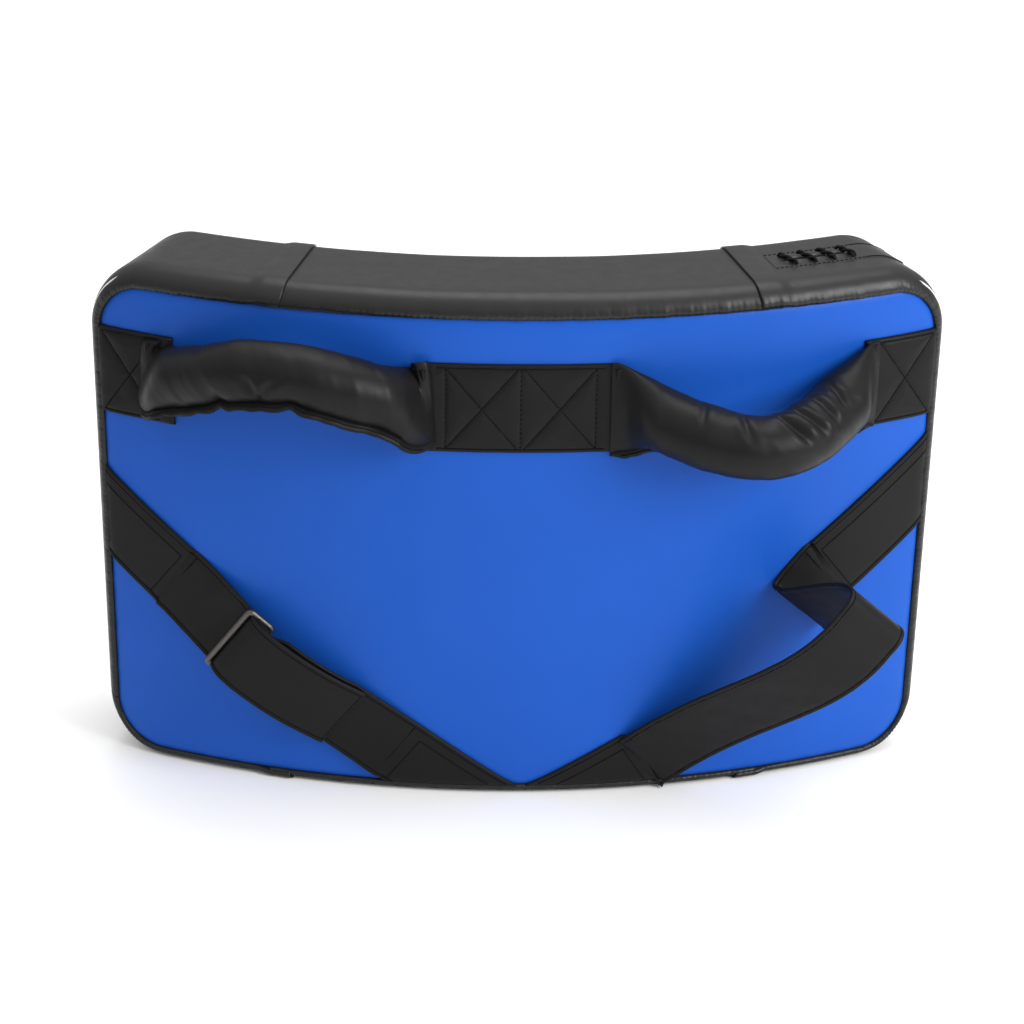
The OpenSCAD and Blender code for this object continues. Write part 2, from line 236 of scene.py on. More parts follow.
def principled(name, color, roughness, **inputs):
    material = bpy.data.materials.new(name)
    material.use_nodes = True
    shader = material.node_tree.nodes["Principled BSDF"]
    shader.inputs["Base Color"].default_value = (*color, 1)
    shader.inputs["Roughness"].default_value = roughness
    for key, value in inputs.items():
        shader.inputs[key.replace("_", " ")].default_value = value
    return material, material.node_tree, shader


def node(tree, kind, **values):
    made = tree.nodes.new(kind)
    for key, value in values.items():
        if key in made.inputs:
            made.inputs[key].default_value = value
        else:
            setattr(made, key, value)
    return made


def ramp(tree, source, low, high, out_low, out_high):
    made = node(tree, "ShaderNodeMapRange")
    for key, value in (("From Min", low), ("From Max", high), ("To Min", out_low), ("To Max", out_high)):
        made.inputs[key].default_value = value
    tree.links.new(source, made.inputs["Value"])
    return made.outputs["Result"]


def leather(name, color, roughness, grain=900, bump=0.25, tint=0.12, specular=0.3):
    """Satin synthetic leather: pebbled grain, faint creases, colour and gloss that vary."""
    material, tree, shader = principled(name, color, roughness)
    shader.inputs["Specular IOR Level"].default_value = specular
    where = node(tree, "ShaderNodeTexCoord").outputs["Object"]
    cells = node(tree, "ShaderNodeTexVoronoi", feature="SMOOTH_F1", Scale=grain, Smoothness=0.6)
    fine = node(tree, "ShaderNodeTexNoise", Scale=grain * 2.2, Detail=3.0)
    broad = node(tree, "ShaderNodeTexNoise", Scale=14.0, Detail=4.0, Roughness=0.55)
    creases = node(tree, "ShaderNodeTexNoise", Scale=95.0, Detail=5.0, Roughness=0.6)
    for texture in (cells, fine, broad, creases):
        tree.links.new(where, texture.inputs["Vector"])
    low = [c * (1 - tint) for c in color]
    high = [min(1, c * (1 + tint) + 0.002) for c in color]
    mix = node(tree, "ShaderNodeMix", data_type="RGBA")
    mix.inputs[6].default_value = (*low, 1)
    mix.inputs[7].default_value = (*high, 1)
    tree.links.new(broad.outputs["Fac"], mix.inputs[0])
    tree.links.new(mix.outputs[2], shader.inputs["Base Color"])
    gloss = ramp(tree, creases.outputs["Fac"], 0.3, 0.7, roughness - 0.05, roughness + 0.07)
    tree.links.new(gloss, shader.inputs["Roughness"])
    height = node(tree, "ShaderNodeMath", operation="MULTIPLY_ADD")
    tree.links.new(cells.outputs["Distance"], height.inputs[0])
    height.inputs[1].default_value = 0.8
    tree.links.new(fine.outputs["Fac"], height.inputs[2])
    grain_bump = node(tree, "ShaderNodeBump", Strength=bump, Distance=0.12 * MM)
    tree.links.new(height.outputs["Value"], grain_bump.inputs["Height"])
    crease_bump = node(tree, "ShaderNodeBump", Strength=bump * 0.5, Distance=0.5 * MM)
    tree.links.new(creases.outputs["Fac"], crease_bump.inputs["Height"])
    tree.links.new(grain_bump.outputs["Normal"], crease_bump.inputs["Normal"])
    tree.links.new(crease_bump.outputs["Normal"], shader.inputs["Normal"])
    return material


def cord_material(name, color, scale=1500):
    """Twisted thread: a fine slanted wave across the strand."""
    material, tree, shader = principled(name, color, 0.75)
    shader.inputs["Specular IOR Level"].default_value = 0.12
    where = node(tree, "ShaderNodeTexCoord").outputs["Object"]
    twist = node(tree, "ShaderNodeTexWave", Scale=scale, Distortion=1.5, bands_direction="DIAGONAL")
    tree.links.new(where, twist.inputs["Vector"])
    bump = node(tree, "ShaderNodeBump", Strength=0.5, Distance=0.2 * MM)
    tree.links.new(twist.outputs["Fac"], bump.inputs["Height"])
    tree.links.new(bump.outputs["Normal"], shader.inputs["Normal"])
    return material


def metal(name, color, roughness):
    """Dark satin coated wire with faint wear."""
    material, tree, shader = principled(name, color, roughness, Metallic=0.85)
    where = node(tree, "ShaderNodeTexCoord").outputs["Object"]
    wear = node(tree, "ShaderNodeTexNoise", Scale=160.0, Detail=6.0)
    tree.links.new(where, wear.inputs["Vector"])
    tree.links.new(ramp(tree, wear.outputs["Fac"], 0.35, 0.7, roughness - 0.08, roughness + 0.14),
                   shader.inputs["Roughness"])
    bump = node(tree, "ShaderNodeBump", Strength=0.15, Distance=0.1 * MM)
    tree.links.new(wear.outputs["Fac"], bump.inputs["Height"])
    tree.links.new(bump.outputs["Normal"], shader.inputs["Normal"])
    return material


def foam(name, color, scale=700):
    """Closed-cell foam: small pits all over."""
    material, tree, shader = principled(name, color, 0.85)
    where = node(tree, "ShaderNodeTexCoord").outputs["Object"]
    pits = node(tree, "ShaderNodeTexVoronoi", Scale=scale)
    tone = node(tree, "ShaderNodeTexNoise", Scale=30.0, Detail=3.0)
    for texture in (pits, tone):
        tree.links.new(where, texture.inputs["Vector"])
    mix = node(tree, "ShaderNodeMix", data_type="RGBA")
    mix.inputs[6].default_value = (*[c * 0.88 for c in color], 1)
    mix.inputs[7].default_value = (*color, 1)
    tree.links.new(tone.outputs["Fac"], mix.inputs[0])
    tree.links.new(mix.outputs[2], shader.inputs["Base Color"])
    bump = node(tree, "ShaderNodeBump", Strength=0.6, Distance=0.4 * MM)
    tree.links.new(pits.outputs["Distance"], bump.inputs["Height"])
    tree.links.new(bump.outputs["Normal"], shader.inputs["Normal"])
    return material


def woven(name, color, scale=700, fuzz=0.3):
    """Tape or webbing: crossed yarns with a little fuzz."""
    material, tree, shader = principled(name, color, 0.85)
    shader.inputs["Sheen Weight"].default_value = fuzz
    where = node(tree, "ShaderNodeTexCoord").outputs["Object"]
    waves = []
    for direction in ("X", "Z"):
        yarn = node(tree, "ShaderNodeTexWave", Scale=scale, Distortion=0.6, bands_direction=direction)
        tree.links.new(where, yarn.inputs["Vector"])
        waves.append(yarn.outputs["Fac"])
    cross = node(tree, "ShaderNodeMath", operation="MULTIPLY")
    tree.links.new(waves[0], cross.inputs[0])
    tree.links.new(waves[1], cross.inputs[1])
    bump = node(tree, "ShaderNodeBump", Strength=0.7, Distance=0.4 * MM)
    tree.links.new(cross.outputs["Value"], bump.inputs["Height"])
    tree.links.new(bump.outputs["Normal"], shader.inputs["Normal"])
    tree.links.new(ramp(tree, cross.outputs["Value"], 0, 1, 0.95, 0.7), shader.inputs["Roughness"])
    return material


MATERIAL = {
    "blue": leather("blue_leather", (0.007, 0.076, 0.41), 0.40, grain=1000, bump=0.16, tint=0.05, specular=0.14),
    "black": leather("black_leather", (0.009, 0.0088, 0.0086), 0.36, bump=0.20, specular=0.30),
    "strap": leather("strap_leather", (0.007, 0.0068, 0.0068), 0.44, grain=1100, bump=0.20, specular=0.11),
    "grip": leather("grip_leather", (0.006, 0.0058, 0.0058), 0.40, grain=1300, bump=0.12, tint=0.08, specular=0.15),
    "welt": leather("welt_leather", (0.004, 0.004, 0.004), 0.50, bump=0.3, specular=0.15),
    "thread": cord_material("thread", (0.0035, 0.003, 0.0028)),
    "lace": cord_material("lace_cord", (0.006, 0.006, 0.006), 900),
    "ring": metal("ring_metal", (0.10, 0.092, 0.088), 0.34),
    "foam_white": foam("foam_white", (0.80, 0.80, 0.78)),
    "foam_cream": foam("foam_cream", (0.78, 0.74, 0.62), 500),
    "foam_grey": foam("foam_grey_roll", (0.30, 0.30, 0.31), 900),
    "webbing": woven("webbing", (0.05, 0.05, 0.05)),
    "hook": woven("hook_tape", (0.030, 0.030, 0.032), 900, 0.1),
    "loop": woven("loop_tape", (0.022, 0.022, 0.024), 600, 0.8),
}


# ---------- the cover ----------

def outline(half, low, high, corner, counts):
    """A rounded rectangle of (arc, height), anticlockwise from the middle of its lower edge."""
    flat_n, arc_n, side_n = counts
    pts = [np.stack([np.linspace(0, half - corner, flat_n, endpoint=False), np.full(flat_n, low)], -1)]

    def corner_arc(cx, cz, start):
        a = np.radians(start + 90 * np.arange(arc_n) / arc_n)
        return np.stack([cx + corner * np.cos(a), cz + corner * np.sin(a)], -1)

    pts.append(corner_arc(half - corner, low + corner, -90))
    z = np.linspace(low + corner, high - corner, side_n, endpoint=False)
    pts.append(np.stack([np.full(side_n, half), z], -1))
    pts.append(corner_arc(half - corner, high - corner, 0))
    x = np.linspace(half - corner, -half + corner, 2 * flat_n, endpoint=False)
    pts.append(np.stack([x, np.full(2 * flat_n, high)], -1))
    pts.append(corner_arc(-half + corner, high - corner, 90))
    pts.append(np.stack([np.full(side_n, -half), z[::-1]], -1))
    pts.append(corner_arc(-half + corner, low + corner, 180))
    x = np.linspace(-half + corner, 0, flat_n, endpoint=False)
    pts.append(np.stack([x, np.full(flat_n, low)], -1))
    return np.concatenate(pts)


COUNTS = (int((HALF_ARC - CORNER) / STEP), int(math.pi / 2 * CORNER / STEP), int((HEIGHT - 2 * CORNER) / STEP))
OUTER = outline(HALF_ARC, 0, HEIGHT, CORNER, COUNTS)
SEAM = outline(HALF_ARC - SIDE_IN, BOTTOM_IN, HEIGHT - TOP_IN, PANEL_CORNER, COUNTS)
RUN = np.concatenate([[0], np.cumsum(np.linalg.norm(np.diff(OUTER, axis=0), axis=1))])
PITCHES = RUN / STITCH


def pucker(run, sharp=0.6):
    """Leather gathered between stitches: 0 at a stitch and 1 midway."""
    return np.abs(np.sin(math.pi * run / STITCH)) ** sharp


def panel_lift(from_seam):
    """Height of a blue panel above the pad's outline, by distance from its seam."""
    return 1.6 * MM * (1 - np.exp(-from_seam / (26 * MM))) - 2.6 * MM * np.exp(-from_seam / (2.6 * MM))


def cover_lift(arc, z):
    """Height of the holder's panel at an arc length and a height."""
    near = np.minimum.reduce([HALF_ARC - SIDE_IN - np.abs(arc), z - BOTTOM_IN, HEIGHT - TOP_IN - z])
    return panel_lift(np.maximum(near, 0))


def panel(name, back, nodes):
    """A blue panel: nearly flat, and rolled down into its seam all the way round."""
    reach = (HEIGHT - TOP_IN - BOTTOM_IN) / 2
    middle_z = BOTTOM_IN + reach
    distance = np.array([0, 0.5, 1, 1.7, 2.6, 3.8, 5.3, 7.2, 9.6, 12.5, 16, 20.5, 26, 33, 42, 53,
                         66, 82, 100, 120, 140, 160]) * MM
    share = np.append(distance / reach, 1.0)
    core = np.stack([np.clip(SEAM[:, 0], -(HALF_ARC - SIDE_IN - reach), HALF_ARC - SIDE_IN - reach),
                     np.full(len(SEAM), middle_z)], -1)
    flat = SEAM[:, None] + (core - SEAM)[:, None] * share[None, :, None]
    from_seam = np.append(distance, reach)[None, :]
    gather = 0.28 * MM * (pucker(RUN)[:, None] - 0.5) * np.exp(-from_seam / (3.0 * MM))
    soft = 0.35 * MM * wave(flat[..., 0], 0.21, 1.3) * wave(flat[..., 1], 0.17, 0.4) * smooth(0, 0.05, from_seam)
    out = panel_lift(from_seam) + gather + soft
    if not back:
        out = -DEPTH - out
    grid = on_pad(flat[..., 0], flat[..., 1], out)
    if back:
        grid = grid[::-1]
    obj = sheet(name, grid, MATERIAL["blue"], 1.8 * MM, wrap_rows=True, weld=True)
    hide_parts(*nodes)
    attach(obj, "pad")
    return obj


def band_surface(index, raised):
    """Grid of points across the band, from the holder's seam to the strike seam."""
    seam, outer, run = SEAM[index], OUTER[index], RUN[index]
    turn = np.linspace(0, math.pi / 2, 16)
    roll_in = np.concatenate([[-0.04, -0.02], np.sin(turn)])
    roll_depth = np.concatenate([[3.4, 1.6], [0.2]]) * MM
    depth_in = np.concatenate([roll_depth, ROLL * (1 - np.cos(turn[1:]))])
    flat_depth = np.linspace(ROLL, DEPTH - ROLL, 14)[1:-1]
    share = np.concatenate([roll_in, np.ones(len(flat_depth)), roll_in[::-1]])
    depth = np.concatenate([depth_in, flat_depth, DEPTH - depth_in[::-1]])
    flat = seam[:, None] + (outer - seam)[:, None] * share[None, :, None]
    near = np.minimum(depth, DEPTH - depth)
    near = np.where(share < 0.999, (share * ROLL), near + ROLL)
    gather = (pucker(run, 0.7)[:, None] - 0.55) * np.exp(-near / (3.6 * MM))[None]
    long_gather = wave(run, 23 * MM, 0.6)[:, None] * np.exp(-near / (9 * MM))[None]
    out_2d = unit(outer - seam)
    soft = 0.5 * MM * wave(run, 0.19, 2.0)[:, None] * np.sin(math.pi * depth / DEPTH)[None]
    laced = smooth(LACE_FROM, LACE_FROM + 4 * MM, outer[:, 0]) * smooth(LACE_TO, LACE_TO - 4 * MM, outer[:, 0])
    laced = laced * (outer[:, 1] > HEIGHT - 2 * MM)
    soft = soft - 7 * MM * laced[:, None] * smooth(11 * MM, 7 * MM, np.abs(depth - DEPTH / 2))[None]
    side_push = 0.5 * MM * gather * share[None] + soft + raised[:, None]
    front_push = 0.75 * MM * gather * (1 - share[None]) + 0.5 * MM * long_gather * (1 - share[None])
    edge_lift = raised[:, None] * np.clip(1.2 - share, 0, 1)[None]
    flat = flat + out_2d[:, None] * side_push[..., None]
    sign = np.where(depth < DEPTH / 2, 1.0, -1.0)[None]
    lift = front_push + edge_lift
    return on_pad(flat[..., 0], flat[..., 1], -depth[None] + sign * lift)


def band(name, keep, nodes, over=None):
    """One length of the band. Its ends lift over its neighbours where over says so."""
    index = np.nonzero(keep)[0]
    gaps = np.nonzero(np.diff(index) > 1)[0]
    if len(gaps):
        index = np.concatenate([index[gaps[0] + 1:], index[:gaps[0] + 1]])
    raised = np.zeros(len(index)) if over is None else over(np.abs(OUTER[index, 0]))
    grid = band_surface(index, raised)
    obj = sheet(name, grid[::-1], MATERIAL["black"], 1.4 * MM)
    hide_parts(*nodes)
    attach(obj, "pad")
    return obj


def overlap_height(arc):
    return 1.5 * MM * smooth(CROSS_SEAM + 11 * MM, CROSS_SEAM + 1 * MM, arc)


def welt(name, depth, nodes):
    """The turned seam edge: a slim cord between panel and band, pinched at each stitch."""
    size = 1.15 * MM * (0.78 + 0.22 * pucker(RUN, 0.8))
    inward = unit(SEAM - OUTER)
    angle = np.arange(8) * math.pi / 4
    sign = 1 if depth == 0 else -1
    across = size[:, None] * np.cos(angle)[None]
    out = size[:, None] * np.sin(angle)[None] * sign - depth - sign * 0.9 * MM
    flat = SEAM[:, None] + inward[:, None] * across[..., None]
    rings = on_pad(flat[..., 0], flat[..., 1], out)
    if sign > 0:
        rings = rings[:, ::-1]
    faces = grid_faces(len(SEAM), 8, wrap_cols=True, wrap_rows=True)
    obj = mesh_object(name, rings, faces, MATERIAL["welt"])
    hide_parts(*nodes)
    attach(obj, "pad")
    return obj


def cover():
    panel("cover_back_panel", True, ["back_panel"])
    panel("cover_strike_panel", False, ["strike_panel"])
    arc, z = OUTER[:, 0], OUTER[:, 1]
    middle = np.abs(arc) < CROSS_SEAM + 1 * MM
    inner = CROSS_SEAM - OVERLAP
    band("cover_band_top", middle & (z > HEIGHT / 2), ["band_top"])
    band("cover_band_bottom", middle & (z < HEIGHT / 2), ["band_bottom"])
    band("cover_band_left", arc < -inner, ["band_left"], overlap_height)
    band("cover_band_right", arc > inner, ["band_right"], overlap_height)
    welt("cover_welt_back", 0, ["welt_back"])
    welt("cover_welt_strike", DEPTH, ["welt_strike"])
    lines = []
    for sign in (1, -1):
        out = 0.25 * MM if sign > 0 else -DEPTH - 0.25 * MM
        inward = unit(SEAM - OUTER)
        flat = SEAM - inward * 2.2 * MM
        points = on_pad(flat[:, 0], flat[:, 1], out)
        lines.append((np.concatenate([points, points[:1]]),
                      np.concatenate([out_dir(flat[:, 0]), out_dir(flat[:1, 0])]) * sign))
    thread("cover_seam_thread", lines, "pad", pitch=STITCH, length=3.0 * MM, radius=0.5 * MM)
    cross_seam_thread()


def cross_seam_thread():
    """Two rows of stitches across the band at each overlap."""
    lines = []
    for side in (-1, 1):
        for top in (False, True):
            for arc in (CROSS_SEAM - OVERLAP + 3 * MM, CROSS_SEAM - 3 * MM):
                row = np.nonzero((np.abs(OUTER[:, 0] - side * arc) < STEP) & ((OUTER[:, 1] > HEIGHT / 2) == top))[0]
                grid = band_surface(row[:1], np.array([1.5 * MM]))[0]
                points = grid[4:-4]
                up = np.tile([0, 0, 1.0 if top else -1.0], (len(points), 1))
                tilt = np.gradient(points, axis=0)
                tangent = unit(tilt)
                side_dir = np.cross(tangent, up)
                normal = unit(np.cross(side_dir, tangent))
                lines.append((points + normal * 0.1 * MM, normal))
    thread("cover_cross_thread", lines, "pad")


# ---------- sewn patches ----------

def line_points(a, b, count=60):
    t = np.linspace(0, 1, count)[:, None]
    return np.asarray(a) * (1 - t) + np.asarray(b) * t


def near_lines(arc, z, lines):
    """Distance from each (arc, height) to the nearest of several line segments."""
    best = np.full(np.shape(arc), 1.0)
    for a, b in lines:
        a, b = np.asarray(a, float), np.asarray(b, float)
        d = b - a
        t = np.clip(((arc - a[0]) * d[0] + (z - a[1]) * d[1]) / (d @ d), 0, 1)
        best = np.minimum(best, np.hypot(arc - a[0] - t * d[0], z - a[1] - t * d[1]))
    return best


def closed_slab(name, top, bottom, material):
    """A slab between two grids of points."""
    rows, cols = top.shape[:2]
    points = np.concatenate([top.reshape(-1, 3), bottom.reshape(-1, 3)])
    n = rows * cols
    faces = grid_faces(rows, cols)
    faces += [face[::-1] for face in grid_faces(rows, cols, base=n)]
    rim = ([i * cols for i in range(rows)] + [(rows - 1) * cols + j for j in range(1, cols)]
           + [i * cols + cols - 1 for i in range(rows - 2, -1, -1)] + list(range(cols - 2, 0, -1)))
    for k, a in enumerate(rim):
        b = rim[(k + 1) % len(rim)]
        faces.append([a, a + n, b + n, b][::-1])
    return face_out(mesh_object(name, points, faces, material))


def patch(name, arc1, arc2, lines, nodes):
    """A band sewn to the cover: turned edges, sunk stitch lines and soft quilting between them."""
    low, high = GRIP_Z - PATCH_H / 2, GRIP_Z + PATCH_H / 2
    cols = int((arc2 - arc1) / (1.0 * MM))
    arc, z = np.meshgrid(np.linspace(arc1, arc2, cols), np.linspace(low, high, 64), indexing="ij")
    edge = np.minimum.reduce([z - low, high - z, arc - arc1 + 6 * MM * (arc1 < -0.28), arc2 - arc + 6 * MM * (arc2 > 0.28)])
    groove = near_lines(arc, z, lines)
    out = 3.1 * MM * smooth(-1.2 * MM, 1.6 * MM, edge) + 0.7 * MM * smooth(0, 9 * MM, groove)
    out = out - 0.75 * MM * np.exp(-(groove / (1.1 * MM)) ** 2)
    out = out + 0.25 * MM * wave(arc, 31 * MM, 1) * wave(z, 27 * MM, 2)
    cover_out = cover_lift(arc, z)
    obj = closed_slab(name, on_pad(arc, z, out + cover_out), on_pad(arc, z, cover_out - 0.6 * MM),
                      MATERIAL["strap"])
    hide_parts(*nodes)
    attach(obj, "pad")
    rows = []
    for a, b in lines:
        flat = line_points(a, b)
        lift = cover_lift(flat[:, 0], flat[:, 1]) + 2.5 * MM
        rows.append((on_pad(flat[:, 0], flat[:, 1], lift), out_dir(flat[:, 0])))
    thread(name + "_thread", rows, "pad")


def patches():
    low, high = GRIP_Z - PATCH_H / 2 + 2.6 * MM, GRIP_Z + PATCH_H / 2 - 2.6 * MM
    seam = HALF_ARC - SIDE_IN
    for side, name in ((-1, "left"), (1, "right")):
        a, b = sorted((side * (PATCH_OUTER + 2 * MM), side * (seam - 4 * MM)))
        lines = [((a, low), (b, high)), ((a, high), (b, low)), ((a, low), (b, low)), ((a, high), (b, high))]
        ends = sorted((side * (PATCH_OUTER - 9 * MM), side * (seam - 1 * MM)))
        patch("patch_sewn_" + name, *ends, lines, ["patch_" + name])
    wide = PATCH_CENTRE - 10 * MM
    lines = [((0, low), (0, high)), ((-wide - 6 * MM, low), (wide + 6 * MM, low)),
             ((-wide - 6 * MM, high), (wide + 6 * MM, high))]
    for side in (-1, 1):
        near, far = side * 2 * MM, side * wide
        lines += [((near, low), (far, high)), ((near, high), (far, low)), ((far, low), (far, high))]
    patch("patch_sewn_centre", -PATCH_CENTRE - 3 * MM, PATCH_CENTRE + 3 * MM, lines, ["patch_centre"])


# ---------- hand grips ----------

def grip_places(side):
    """Middle of the swing axis, direction along it, outward direction and half its length."""
    a = on_pad(side * (PATCH_CENTRE + 1 * MM), GRIP_Z, AXIS_H)
    b = on_pad(side * (PATCH_OUTER - 1 * MM), GRIP_Z, AXIS_H)
    along = unit((b - a) * side)
    out = unit(np.cross(along, [0, 0, 1.0]))
    return (a + b) / 2, along, out, np.linalg.norm(b - a) / 2


def grip_path(side, tilt, settle, longer, hoist, count=150):
    """Centre line of a grip, with its frame: along, up across the tube, and away from the pad."""
    middle, along, out, half = grip_places(side)
    u = np.linspace(-1, 1, count)
    base = 4 * MM - AXIS_H
    fullness = 0.5 if side < 0 else 0.72
    height = base + (GRIP_RISE - base) * (0.5 + 0.5 * np.cos(math.pi * u)) ** fullness
    past_end = smooth(0.6, 1, side * u)
    height = height - 0.13 * longer * MM * past_end
    twist = math.radians(tilt) * smooth(0, settle, (1 - np.abs(u)))
    lean = np.cos(twist)[:, None] * out + np.sin(twist)[:, None] * np.array([0, 0, 1.0])
    place = u * half + side * longer * MM * past_end
    centre = middle + along * place[:, None] + lean * height[:, None]
    centre[:, 2] += hoist * MM * smooth(0.45, 1, np.abs(u))
    tangent = unit(np.gradient(centre, axis=0))
    up = np.cos(twist)[:, None] * np.array([0, 0, 1.0]) - np.sin(twist)[:, None] * out
    up = unit(up - tangent * np.sum(up * tangent, -1, keepdims=True))
    away = unit(np.cross(tangent, up))
    return u, centre, tangent, up, away


def grip(side, tilt, settle, longer, hoist, name, ends, folds, dents):
    """A padded grip: leather rolled round foam, flattened at its sewn ends, with a sewn fin below.

    settle is the share of half its length in which it takes up its tilt, and longer is how far it
    reaches over the outer patch. hoist is how far its ends sit above the band's middle. ends are half
    the heights of its flattened ends, from the left. folds are creases, each a share of
    the length, an angle round the grip, a reach in degrees, a lean and a depth. dents are hollows.
    """
    u, centre, tangent, up, away = grip_path(side, tilt, settle, longer, hoist)
    length = np.concatenate([[0], np.cumsum(np.linalg.norm(np.diff(centre, axis=0), axis=1))])
    whole = length[-1]
    from_end = np.minimum(length, whole - length)
    full = smooth(-2 * MM, 44 * MM, from_end)
    end_half = np.where(length < whole / 2, ends[0], ends[1]) * MM
    wide = end_half * (1 - full) + GRIP_R * full
    thick = 3.0 * MM * (1 - full) + GRIP_R * full
    cols = 160
    angle = np.linspace(-math.pi / 2, 1.5 * math.pi, cols, endpoint=False)
    cos, sin = np.cos(angle)[None], np.sin(angle)[None]
    power = (0.55 + 0.45 * full)[:, None]
    across = np.sign(sin) * np.abs(sin) ** power * wide[:, None]
    outward = cos * thick[:, None]
    degrees = np.degrees(angle)[None]
    grow = 0.5 * MM * wave(length, 67 * MM, side)[:, None] * (1 + 0.4 * sin) * full[:, None]
    grow = grow + 0.25 * MM * wave(length[:, None] + angle[None] * 9 * MM, 21 * MM, 2.0) * full[:, None]
    for where, start, reach, lean, depth in folds:
        along = (degrees - start) / reach
        run = length[:, None] - where * whole - lean * MM * along
        fade = smooth(-0.25, 0.2, along) * smooth(1.15, 0.55, along)
        valley = np.exp(-(run / (2.3 * MM)) ** 2)
        shoulder = 0.45 * (np.exp(-((run - 5.5 * MM) / (3.2 * MM)) ** 2)
                           + np.exp(-((run + 5.5 * MM) / (3.2 * MM)) ** 2))
        grow = grow + depth * MM * fade * (shoulder - valley)
    for where, at, width, spread, depth in dents:
        run = (length[:, None] - where * whole) / (width * MM)
        grow = grow - depth * MM * np.exp(-run ** 2 - ((degrees - at) / spread) ** 2)
    tuck = np.exp(-(from_end / (13 * MM)) ** 2)[:, None]
    grow = grow + 1.5 * MM * tuck * np.cos(3.2 * angle + 0.8)[None] * smooth(0, 5 * MM, from_end)[:, None]
    radius = np.hypot(across, outward)
    scale = (radius + grow) / np.maximum(radius, 1e-6)
    rings = (centre[:, None] + (across * scale)[..., None] * up[:, None]
             + (outward * scale)[..., None] * away[:, None])
    obj = tube(name + "_sleeve_skin", rings, MATERIAL["grip"])
    inner = np.clip(1 - 5.5 * MM / np.hypot(across, outward), 0.05, 1)[8:-8]
    stuffing = (centre[8:-8, None] + (across[8:-8] * inner)[..., None] * up[8:-8, None]
                + (outward[8:-8] * inner)[..., None] * away[8:-8, None])
    filling = tube(name + "_foam_roll", stuffing[::2, ::4], MATERIAL["foam_grey"])
    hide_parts(name + "_core")
    nick = sum(depth * np.exp(-((length / whole - where) * whole / (width * 0.8 * MM)) ** 2)
               for where, at, width, _, depth in dents if at < -60)
    pieces = [obj, filling] + grip_fin(name, u, centre, up, away, wide, length, side, nick * MM)
    middle, _, out, _ = grip_places(side)
    for piece in pieces:
        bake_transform(piece)
    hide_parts(name + "_sleeve")
    return obj


def grip_fin(name, u, centre, up, away, wide, length, side, nick):
    """The sewn edge that stands out below a grip, gently wavy, and nicked where the leather gathers."""
    reach = 4.6 * MM * smooth(0.0, 0.12, 1 - np.abs(u)) + 1.2 * MM
    bend = 1.2 * MM * wave(length, 46 * MM, 0.8 * side)
    root = centre - up * (wide - 1.5 * MM - nick)[:, None]
    tip_drop = wide + reach + 0.7 * MM * wave(length, 29 * MM, 2.2) - 1.3 * nick
    tip = centre - up * tip_drop[:, None] + away * bend[:, None]
    half = 1.15 * MM
    profile = ((0, 0.9), (0.5, 1), (0.85, 1.15), (1.0, 0.6), (1.0, -0.6), (0.85, -1.15), (0.5, -1), (0, -0.9))
    rings = np.stack([root + (tip - root) * share + away * (half * size) for share, size in profile], 1)
    obj = tube(name + "_fin", rings, MATERIAL["strap"])
    line = root + (tip - root) * 0.62 + away * (half * 1.15)
    return [obj, thread(name + "_fin_thread", [(line[6:-6], away[6:-6])], None)]


def ear(name, corner, run_in, up, out, size, body):
    """A small folded corner of leather where a sleeve's end is tucked under its patch."""
    length, height, rise = size
    base = [corner, corner + run_in * length, corner + run_in * length * 0.9 - up * height * 0.5, corner - up * height]
    crest = [corner + run_in * 0.25 * length + out * rise * 1.0 + up * 1.0 * MM,
             corner + run_in * 0.85 * length + out * rise * 0.55,
             corner + run_in * 0.8 * length + out * rise * 0.5 - up * height * 0.45,
             corner + run_in * 0.22 * length + out * rise * 0.8 - up * height * 0.75]
    faces = [[0, 1, 2, 3], [4, 5, 6, 7], [0, 1, 5, 4], [1, 2, 6, 5], [2, 3, 7, 6], [3, 0, 4, 7]]
    obj = face_out(mesh_object(name, np.array(base + crest), faces, MATERIAL["grip"]))
    crease = obj.modifiers.new("soft_edges", "BEVEL")
    crease.width = 0.8 * MM
    crease.segments = 2
    crease.limit_method = "NONE"
    round_off = obj.modifiers.new("round", "SUBSURF")
    round_off.levels = round_off.render_levels = 2
    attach(obj, body)


def ears():
    """Folded corners at the sleeves' ends, above and below."""
    places = ((-1, PATCH_OUTER + 12 * MM, -1, (15, 11, 9), "left_outer"), (-1, PATCH_CENTRE, 1, (13, 12, 9), "left_inner"),
              (1, PATCH_CENTRE, -1, (11, 10, 6), "right_inner"), (1, PATCH_OUTER, 1, (10, 9, 5), "right_outer"))
    for side, arc, _, size, label in places:
        middle, along, out, _ = grip_places(side)
        inward = along * (1 if arc < 0.15 else -1) * side
        for half, word in ((1, "top"), (-1, "bottom")):
            reach = (PATCH_H / 2 - 2.5 * MM) * half
            corner = on_pad(side * arc, GRIP_Z + reach, cover_lift(np.array(arc), np.array(GRIP_Z)) + 2.6 * MM)
            scale = MM * (1 if half > 0 else 0.6)
            ear("grip_ear_" + label + "_" + word, corner, inward, np.array([0, 0, float(half)]), out,
                tuple(v * scale for v in size), "pad")


# ---------- straps ----------

def bezier(points, t):
    p = [np.asarray(q, float) * MM for q in points]
    t = np.asarray(t, float)[:, None]
    return (1 - t) ** 3 * p[0] + 3 * (1 - t) ** 2 * t * p[1] + 3 * (1 - t) * t ** 2 * p[2] + t ** 3 * p[3]


def strap_axes(side, top, foot):
    """Origin and axes of a strap: x to its foot, y straight out, z across."""
    p = on_pad(side * top[0] * MM, top[1] * MM)
    q = on_pad(side * foot[0] * MM, foot[1] * MM)
    x = unit(q - p)
    radial = out_dir(side * (top[0] + foot[0]) / 2 * MM)
    y = unit(radial - x * (radial @ x))
    return p, x, y, np.cross(x, y)


